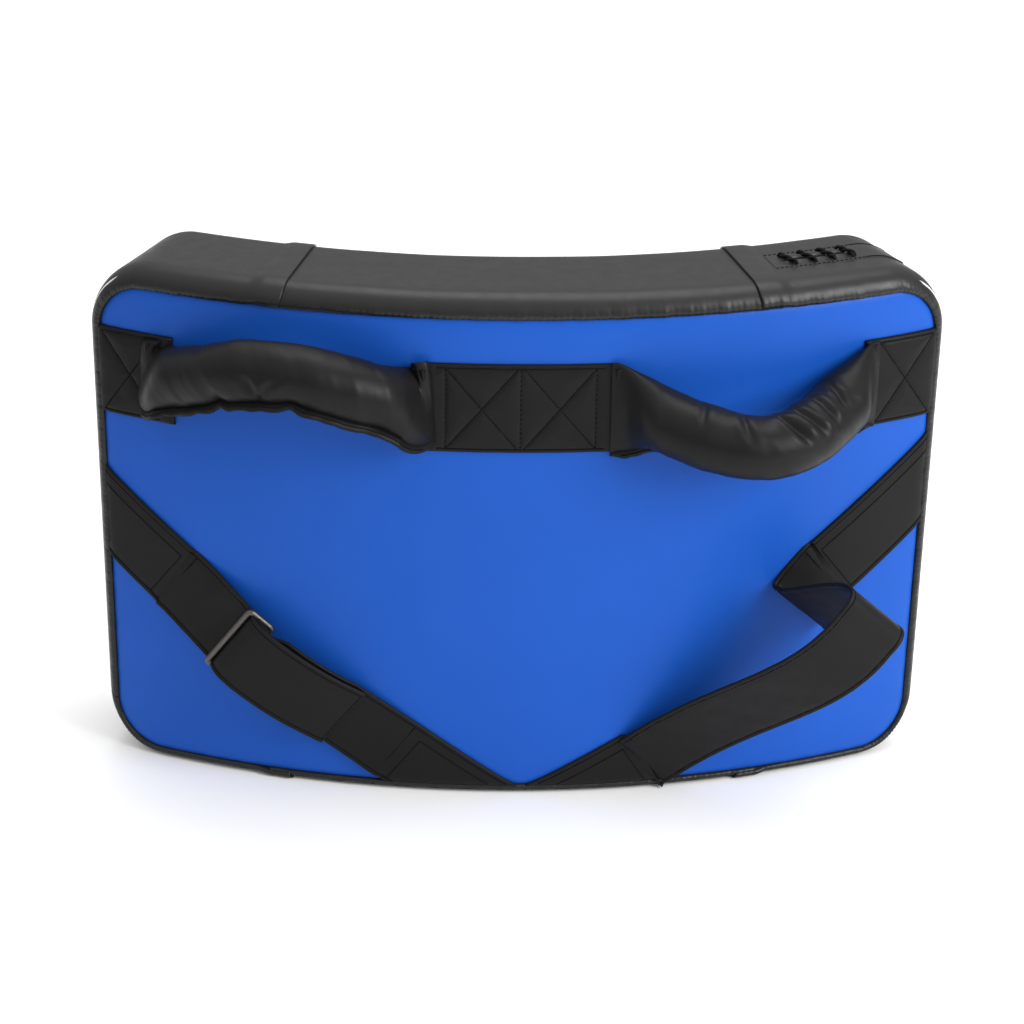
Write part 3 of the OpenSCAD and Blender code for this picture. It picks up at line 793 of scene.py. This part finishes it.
def surface_run(side, place, slope, reach, axes, count=36):
    """Middle line of a sewn strap end: from place along a slope on the cover, to a seam."""
    t = np.linspace(0, reach, count)
    a = math.radians(slope)
    arc = side * (place[0] * MM + t * math.cos(a))
    z = place[1] * MM + t * math.sin(a)
    turn = arc / RADIUS
    level = np.stack([np.cos(turn), np.sin(turn), np.zeros_like(turn)], -1)
    across = math.cos(a) * np.array([0, 0, 1.0]) - side * math.sin(a) * level
    across *= np.sign(across @ axes[3])[:, None]
    return on_pad(arc, z, cover_lift(arc, z) + 1.5 * MM), out_dir(arc), unit(across)


def reversed_run(run):
    return tuple(part[::-1] for part in run)


def free_run(axes, curves, count=24, lift=0.0):
    """Middle line of a strap's free part: curves of (distance to the foot, height off the cover)."""
    origin, x, y, z = axes
    pts = np.concatenate([bezier(c, np.linspace(0, 1, count, endpoint=k == len(curves) - 1))
                          for k, c in enumerate(curves)])
    step = unit(np.gradient(pts, axis=0))
    up = np.stack([-step[:, 1], step[:, 0]], -1)
    pts = pts + up * lift
    mids = origin + pts[:, :1] * x + pts[:, 1:] * y
    return mids, unit(up[:, :1] * x + up[:, 1:] * y), np.tile(z, (len(pts), 1))


def join_runs(*runs, step=1.6 * MM, soften=5):
    """One even line through several runs, its frames smoothed where the runs meet."""
    mids, normals, acrosses = (np.concatenate(part) for part in zip(*runs))
    line = resample(np.concatenate([mids, normals, acrosses], -1), step)
    for _ in range(soften):
        line[1:-1] = 0.25 * line[:-2] + 0.5 * line[1:-1] + 0.25 * line[2:]
    mids = line[:, :3]
    tangent = unit(np.gradient(mids, axis=0))
    across = unit(line[:, 6:] - tangent * np.sum(line[:, 6:] * tangent, -1, keepdims=True))
    normal = unit(np.cross(across, tangent))
    return mids, normal * np.sign(np.sum(normal * line[:, 3:6], -1, keepdims=True)), across


SHARES = np.array([-1, -0.99, -0.96, -0.92, -0.88, -0.8, -0.65, -0.45, -0.22, 0,
                   0.22, 0.45, 0.65, 0.8, 0.88, 0.92, 0.96, 0.99, 1])


def strap(name, run, skew=(0, 0), sewn=(0, 0), crumple=None, width=None):
    """A leather strap along a run, with turned edges. width narrows it where it is gathered.

    skew shears a sewn end so that it follows its seam, and sewn is each sewn end's length on the cover.
    """
    mids, normals, acrosses = run
    half = STRAP_W / 2
    rim = half * (1 - np.abs(SHARES))
    thick = STRAP_T / 2 * (0.3 + 0.7 * np.sqrt(smooth(-0.05 * MM, 1.0 * MM, rim)))
    thick = thick + 0.35 * MM * np.exp(-((rim - 1.2 * MM) / (0.9 * MM)) ** 2)
    thick = thick - 0.40 * MM * np.exp(-((rim - 3.3 * MM) / (0.8 * MM)) ** 2)
    length = np.concatenate([[0], np.cumsum(np.linalg.norm(np.diff(mids, axis=0), axis=1))])
    slide = np.zeros((len(mids), len(SHARES)))
    on_cover = np.zeros(len(mids))
    for end in (0, 1):
        if sewn[end]:
            gone = length if end == 0 else length[-1] - length
            slide += (skew[end] * half * SHARES)[None] * np.clip(1 - gone / sewn[end], 0, 1)[:, None]
            on_cover = np.maximum(on_cover, smooth(sewn[end] + 2 * MM, sewn[end] - 14 * MM, gone))
    tangent = unit(np.gradient(mids, axis=0))
    free = (1 - on_cover)[:, None]
    soft = 0.35 * MM * wave(length, 37 * MM, 1.1)[:, None] * wave(SHARES * half, 33 * MM, 0.3)[None] * free
    push = soft if crumple is None else soft + free * crumple(length[:, None], SHARES[None])
    halves = half * (np.ones(len(mids)) if width is None else width(length))
    base = (mids[:, None] + acrosses[:, None] * (halves[:, None] * SHARES)[..., None]
            + tangent[:, None] * slide[..., None])
    arc = np.arctan2(base[..., 0], CENTRE_Y - base[..., 1]) * RADIUS
    sewn_base = on_pad(arc, base[..., 2], cover_lift(arc, base[..., 2]) + 1.4 * MM)
    base = base * free[..., None] + sewn_base * (1 - free[..., None])
    top = base + normals[:, None] * (push + thick[None])[..., None]
    low = base + normals[:, None] * (push - thick[None])[..., None]
    obj = tube(name, np.concatenate([top, low[:, ::-1]], 1), MATERIAL["strap"])
    return obj, top, normals


def sewn_lines(side, place, slope):
    """The stitches that hold a sewn end: a line across it, then an L along its upper edge."""
    a = math.radians(slope)
    upper = 1 if slope < 90 else -1
    first, leg, edge = 9 * MM, 17 * MM, 24 * MM
    rows = []
    for start, end in (((0, -edge), (0, edge)), ((first, -edge), (first, leg)), ((first, leg), (0.12, leg))):
        t, w = line_points(start, end, 120).T
        w = w * upper
        arc = side * (place[0] * MM + t * math.cos(a) - w * math.sin(a))
        z = place[1] * MM + t * math.sin(a) + w * math.cos(a)
        keep = (np.abs(arc) < HALF_ARC - SIDE_IN - 1.5 * MM) & (z > BOTTOM_IN + 2 * MM)
        arc, z = arc[keep], z[keep]
        rows.append((on_pad(arc, z, cover_lift(arc, z) + 2.65 * MM), out_dir(arc)))
    return rows


def edge_lines(top, normals, rows=slice(3, -3)):
    """Stitch lines along both edges of a strap."""
    return [(top[rows, k] + normals[rows] * 0.1 * MM, normals[rows]) for k in (4, -5)]


def cross_line(top, normals, row):
    points = top[row, 4:-4] + normals[row] * 0.1 * MM
    return points, np.tile(normals[row], (len(points), 1))


LEFT_TOP, LEFT_FOOT = (240, 150), (84, 34)
RIGHT_TOP, RIGHT_FOOT = (218, 160), (93, 25)
SLOPE, LEFT_FOOT_SLOPE, RIGHT_FOOT_SLOPE = 38, 36, 31
RISE = 3.4
UPPER_RUN = [(-2, RISE), (14, 5.2), (32, 12), (52, 17.3)]
UPPER_RISE = [(52, 17.3), (58, 18.5), (60, 24.8), (70, 26.3)]
TAIL_START = [(55.2, 22.4), (57.5, 25.8), (62, 28.9), (71.5, 29.3)]
TAIL_RUN = [(71.5, 29.3), (92, 30.5), (122, 26), (150, 12)]
LOWER_RUN = [(71.5, 26.5), (92, 29), (122, 26), (150, 12)]
BAR_EXPOSED, BAR_HELD = (51, 21.2), (71, 17)
LOWER_DROP = 5.25 * MM


def sewn_top(side, place, axes):
    """The run of a strap's upper sewn end, and its length: it starts at the pad's side seam."""
    reach = (HALF_ARC - SIDE_IN - place[0] * MM) / math.cos(math.radians(SLOPE)) + 1 * MM
    return reversed_run(surface_run(side, place, SLOPE, reach, axes)), reach


def sewn_foot(side, place, slope, axes):
    """The run of a strap's foot, and its length: it ends at the pad's lower seam."""
    reach = (place[1] * MM - BOTTOM_IN) / math.sin(math.radians(slope)) + 1 * MM
    return surface_run(side, place, slope + 180, reach, axes), reach


def tan(degrees):
    return math.tan(math.radians(degrees))


def left_strap():
    """The taut strap: upper web under the ring's bar, free end over its held bar, lower web below."""
    axes = strap_axes(-1, LEFT_TOP, LEFT_FOOT)
    top_run, reach = sewn_top(-1, LEFT_TOP, axes)
    run = join_runs(tuple(part[:-2] for part in top_run), free_run(axes, [UPPER_RUN, UPPER_RISE]))

    def dip(gone, share):
        return -1.4 * MM * np.exp(-((gone - reach - 42 * MM) / (9 * MM)) ** 2) * (1 - share ** 2)

    obj, top, normals = strap("strap_left_upper_web", run, (tan(SLOPE), 0), (reach, 0), dip)
    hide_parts("strap_left_upper")
    stitches = thread("strap_left_upper_thread", edge_lines(top, normals) + sewn_lines(-1, LEFT_TOP, SLOPE), None)
    for piece in (obj, stitches):
        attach(piece, "pad")

    tail = join_runs(free_run(axes, [TAIL_START, TAIL_RUN], 60), soften=2)

    def lift_edge(gone, share):
        return 0.8 * MM * smooth(88 * MM, 102 * MM, gone) * share ** 2

    obj, top, normals = strap("strap_left_tail_web", tail, crumple=lift_edge)
    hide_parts("strap_left_tail")
    stitches = thread("strap_left_tail_thread", edge_lines(top, normals) + [cross_line(top, normals, -4)], None)
    origin, x, y, z = axes
    for piece in (obj, stitches):
        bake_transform(piece)

    lower = tuple(part[2:56] for part in free_run(axes, [LOWER_RUN], 60, -LOWER_DROP))
    foot, reach = sewn_foot(-1, LEFT_FOOT, LEFT_FOOT_SLOPE, axes)
    turn = np.radians(np.linspace(-60, 75, 20))
    up = np.stack([-np.cos(turn), np.sin(turn)], -1)
    place = np.array(BAR_HELD) * MM + (2.65 * MM + STRAP_T / 2) * up
    loop = (origin + place[:, :1] * x + place[:, 1:] * y, unit(up[:, :1] * x + up[:, 1:] * y),
            np.tile(z, (len(turn), 1)))
    loop_length = (2.65 * MM + STRAP_T / 2) * math.radians(135)

    def gathered(gone):
        return 0.79 + 0.21 * smooth(loop_length, loop_length + 18 * MM, gone)

    run = join_runs(loop, lower, tuple(part[3:] for part in foot), soften=3)
    skew = (0, -1 / tan(LEFT_FOOT_SLOPE))
    obj, top, normals = strap("strap_left_lower_web", run, skew, (0, reach), width=gathered)
    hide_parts("strap_left_lower")
    lines = edge_lines(top, normals) + sewn_lines(-1, LEFT_FOOT, LEFT_FOOT_SLOPE + 180)
    stitches = thread("strap_left_lower_thread", lines, None)
    for piece in (obj, stitches):
        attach(piece, "pad")
    ring(axes)


def ring(axes):
    """The wire ring: two bars and two short sides with rounded corners, one closed sweep."""
    origin, x, y, z = axes
    a, b = np.array(BAR_EXPOSED) * MM, np.array(BAR_HELD) * MM
    half, bend, radius = 27.6 * MM, 3.0 * MM, 2.3 * MM
    ex = unit(b - a)
    long = np.linalg.norm(b - a)
    held = 24.6 * MM
    corners = [(0, -half), (long, -held), (long, held), (0, half)]
    path = []
    for k, corner in enumerate(corners):
        corner = np.array(corner)
        before, after = np.array(corners[k - 1]), np.array(corners[(k + 1) % 4])
        u, v = unit(before - corner), unit(after - corner)
        for t in np.linspace(0, 1, 7):
            path.append(corner + bend * ((1 - t) ** 2 * u + t ** 2 * v))
        flat = 10
        for t in np.linspace(0, 1, flat + 2)[1:-1]:
            path.append((corner + v * bend) * (1 - t) + (after - v * bend) * t)
    path = np.array(path)
    plane = lambda p: origin + (a[0] + p[:, :1] * ex[0]) * x + (a[1] + p[:, :1] * ex[1]) * y + p[:, 1:] * z
    centre = plane(path)
    tangent = unit(np.roll(centre, -1, 0) - np.roll(centre, 1, 0))
    normal = unit(-ex[1] * x + ex[0] * y)
    side = np.cross(tangent, normal)
    angle = np.arange(16) * math.pi / 8
    rings = centre[:, None] + radius * (np.cos(angle)[None, :, None] * side[:, None]
                                        + np.sin(angle)[None, :, None] * normal)
    faces = grid_faces(len(path), 16, wrap_cols=True, wrap_rows=True)
    obj = face_out(mesh_object("buckle_ring_wire", rings, faces, MATERIAL["ring"]))
    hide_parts("buckle_ring")
    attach(obj, "buckle")


FOLD_LOW = [(-2, RISE), (8, 4.6), (18, 5), (25, 7)]
FOLD_TURN = [(25, 7), (29, 8.5), (29, 12), (27, 14)]
FOLD_BACK = [(27, 14), (23, 30), (-4, 50), (-12, 72)]
FOLD_TOP = [(-12, 72), (-16, 84), (-12, 90), (2, 90)]


def right_strap():
    """The slack strap: it folds back over its upper end, then runs down to its foot."""
    axes = strap_axes(1, RIGHT_TOP, RIGHT_FOOT)
    origin, x, y, z = axes
    span = np.linalg.norm(on_pad(RIGHT_FOOT[0] * MM, RIGHT_FOOT[1] * MM) - origin) / MM
    run_down = [(2, 90), (60, 100), (98, 36), (span, RISE)]
    top_run, top_reach = sewn_top(1, RIGHT_TOP, axes)
    foot, foot_reach = sewn_foot(1, RIGHT_FOOT, RIGHT_FOOT_SLOPE, axes)
    free = free_run(axes, [FOLD_LOW, FOLD_TURN, FOLD_BACK, FOLD_TOP, run_down])
    run = join_runs(tuple(part[:-2] for part in top_run), free, tuple(part[3:] for part in foot), soften=4)
    skew = (-tan(SLOPE), 1 / tan(RIGHT_FOOT_SLOPE))
    obj, top, normals = strap("strap_right_leather", run, skew, (top_reach, foot_reach))
    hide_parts("strap_right_upper", "strap_right_web", "strap_right_foot")
    lines = edge_lines(top, normals) + sewn_lines(1, RIGHT_TOP, SLOPE)
    lines += sewn_lines(1, RIGHT_FOOT, RIGHT_FOOT_SLOPE + 180)
    stitches = thread("strap_right_thread", lines, None)
    start, end = origin + y * 7 * MM, origin + y * 17 * MM
    for piece in (obj, stitches):
        tuple(start)
        tuple(end)
        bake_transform(piece)


def lacing():
    """The lace-up opening: a stitched facing with a scalloped slit, and four slanted turns of lace."""
    keep = (OUTER[:, 0] > CROSS_SEAM + 9 * MM) & (OUTER[:, 1] > HEIGHT - 10 * MM)
    place = OUTER[keep]
    along = unit(np.gradient(place, axis=0))
    outward = np.stack([along[:, 1], -along[:, 0]], -1)
    run = np.concatenate([[0], np.cumsum(np.linalg.norm(np.diff(place, axis=0), axis=1))])
    middle = DEPTH / 2
    depth = np.linspace(middle - FACING, middle + FACING, 75)
    arc = place[:, :1] + 0 * depth
    beat = np.abs(np.sin(math.pi * (arc - LACE_FIRST - LACE_SLANT / 2) / LACE_STEP))
    inside = smooth(LACE_FROM, LACE_FROM + 5 * MM, arc) * smooth(LACE_TO, LACE_TO - 5 * MM, arc)
    width = (0.5 + 1.9 * beat) * MM * inside
    away = np.abs(depth - middle)
    groove = smooth(width + 0.9 * MM, width - 0.3 * MM, away) * (inside > 0.02)
    lip = (0.5 + 1.0 * beat) * MM * np.exp(-((away - width - 2.3 * MM) / (1.7 * MM)) ** 2) * inside
    edge = np.minimum(FACING - away, np.minimum(run, run[-1] - run + 4 * MM)[:, None])
    lift = 1.8 * MM * smooth(-0.4 * MM, 1.2 * MM, edge) + lip - 5.2 * MM * groove
    lift = lift - 0.45 * MM * np.exp(-((FACING - away - 2.2 * MM) / (0.8 * MM)) ** 2)

    def raised(amount):
        flat = place[:, None] + outward[:, None] * amount[..., None]
        return on_pad(flat[..., 0], flat[..., 1], -depth[None])

    under = np.minimum(-0.4 * MM, lift - 0.9 * MM)
    obj = closed_slab("lace_facing_leather", raised(lift), raised(under), MATERIAL["black"])
    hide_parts("lace_facing")
    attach(obj, "pad")
    lines = []
    for column in (6, -7):
        points = raised(lift)[:, column]
        normals = np.concatenate([outward[:, :1], 0 * outward[:, :1], outward[:, 1:]], -1)
        lines.append((points + normals * 0.15 * MM, normals))
    thread("lace_facing_thread", lines, "pad")

    strands, faces, count = [], [], 0
    t = np.linspace(0, 1, 41)
    angle = np.arange(10) * math.pi / 5
    for k in range(4):
        start = np.array([LACE_FIRST + k * LACE_STEP + LACE_SLANT + 1 * MM, middle - LACE_REACH - 1 * MM])
        end = np.array([LACE_FIRST + k * LACE_STEP - 1 * MM, middle + LACE_REACH + 1 * MM])
        flat = start + (end - start) * t[:, None]
        height = HEIGHT + 3.2 * MM - 6.5 * MM * smooth(0.66, 1.05, np.abs(2 * t - 1)) + 0.2 * MM * k
        centre = on_pad(flat[:, 0], height, -flat[:, 1])
        step = unit(np.gradient(centre, axis=0))
        side = unit(np.cross(step, [0, 0, 1.0]))
        up = np.cross(side, step)
        for half_turn in (0, math.pi):
            twist = 2 * math.pi * 1.4 * t + half_turn + 0.7 * k
            strand = centre + 0.85 * MM * (np.cos(twist)[:, None] * side + np.sin(twist)[:, None] * up)
            rings = strand[:, None] + 1.05 * MM * (np.cos(angle)[None, :, None] * side[:, None]
                                                   + np.sin(angle)[None, :, None] * up[:, None])
            faces += grid_faces(len(t), 10, wrap_cols=True, base=count)
            faces += [[count + i for i in range(10)], [count + (len(t) - 1) * 10 + i for i in range(9, -1, -1)]]
            count += len(t) * 10
            strands.append(rings.reshape(-1, 3))
    obj = face_out(mesh_object("lace_cord_turns", np.concatenate(strands), faces, MATERIAL["lace"]))
    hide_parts("lace")
    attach(obj, "pad")


def carried_over():
    """The CAD parts whose shape is already right get their finished materials."""
    looks = {"foam_strike": "foam_white", "foam_core": "foam_cream", "foam_back": "foam_white",
             "grip_backing": "webbing", "lace_tongue": "black", "hook_patch": "hook", "loop_patch": "loop"}
    for name, look in looks.items():
        for material_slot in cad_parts[name].material_slots:
            material_slot.material = MATERIAL[look]


def floor_and_light():
    size = 9.0
    bpy.ops.mesh.primitive_plane_add(size=size, location=(0, 2.0, -0.0005))
    floor = bpy.context.object
    floor.name = "floor"
    material, tree, shader = principled("floor_paint", (0.93, 0.93, 0.93), 0.75)
    grain = node(tree, "ShaderNodeTexNoise", Scale=40.0, Detail=2.0)
    tree.links.new(ramp(tree, grain.outputs["Fac"], 0, 1, 0.72, 0.78), shader.inputs["Roughness"])
    floor.data.materials.append(material)
    world = bpy.data.worlds.new("studio")
    bpy.context.scene.world = world
    world.use_nodes = True
    tree = world.node_tree
    split = node(tree, "ShaderNodeSeparateXYZ")
    tree.links.new(node(tree, "ShaderNodeTexCoord").outputs["Generated"], split.inputs[0])
    tree.links.new(ramp(tree, split.outputs["Z"], 0.0, 0.9, 0.38, 1.25), tree.nodes["Background"].inputs["Strength"])
    tree.nodes["Background"].inputs["Color"].default_value = (1, 1, 1, 1)

    def area(name, place, target, size, power):
        data = bpy.data.lights.new(name, "AREA")
        data.shape = "RECTANGLE"
        data.size, data.size_y = size
        data.energy = power
        lamp = bpy.data.objects.new(name, data)
        lamp.location = place
        lamp.rotation_euler = (Vector(target) - Vector(place)).to_track_quat("-Z", "Y").to_euler()
        bpy.context.scene.collection.objects.link(lamp)

    area("key", (1.25, -0.9, 0.95), (0, 0, 0.2), (0.8, 0.8), 24)
    area("top", (0.2, 0.4, 2.0), (0, 0, 0.2), (1.6, 1.0), 16)


def camera():
    """The camera stands a little above the pad, slightly to one side, with a long lens."""
    distance, elevation, yaw, roll = 2.0, math.radians(26.7), math.radians(1.83), math.radians(-0.98)
    aim = Vector((-4.7 * MM, 0, 38.1 * MM))
    forward = Vector((0, math.cos(elevation), -math.sin(elevation)))
    up = Vector((0, math.sin(elevation), math.cos(elevation)))
    right = Vector((1, 0, 0))
    place = aim - forward * distance
    image_right = right * math.cos(roll) - up * math.sin(roll)
    image_up = right * math.sin(roll) + up * math.cos(roll)
    turn = Matrix.Rotation(-yaw, 4, "Z")
    axes = Matrix((image_right, image_up, -forward)).transposed().to_4x4()
    shift = Matrix.Translation((0, -DEPTH / 2, (BOTTOM_IN + HEIGHT - TOP_IN) / 2))
    data = bpy.data.cameras.new("camera")
    data.lens = 103.75
    data.sensor_width = 36
    data.clip_end = 50
    obj = bpy.data.objects.new("camera", data)
    obj.matrix_world = shift @ turn @ Matrix.Translation(place) @ axes
    bpy.context.scene.collection.objects.link(obj)
    bpy.context.scene.camera = obj


cover()
patches()
grip(-1, 46, 0.16, 12, 6, "grip_left", (24, 29),
     [(0.47, -35, -50, 6, 1.5), (0.53, -40, -45, -7, 1.4), (0.40, 140, 60, 3, 1.5), (0.55, 150, 60, -2, 1.5)],
     [(0.36, -90, 7, 34, 2.4), (0.585, -90, 8, 38, 2.8), (0.47, -50, 9, 22, 1.2)])
grip(1, -17, 0.5, 0, 0, "grip_right", (33, 31),
     [(0.28, 105, -50, 5, 1.3), (0.40, 108, -60, 8, 1.8), (0.53, 110, -75, 10, 2.6), (0.60, 112, -80, 6, 2.8),
      (0.69, 112, -70, -3, 2.4), (0.78, 108, -55, -9, 1.7), (0.34, 160, 60, 2, 1.5), (0.64, 160, 60, -2, 1.5)],
     [(0.56, 75, 7, 20, 1.6), (0.65, 80, 8, 20, 1.6), (0.74, 70, 7, 18, 1.2)])
ears()
left_strap()
right_strap()
lacing()
carried_over()
floor_and_light()
camera()
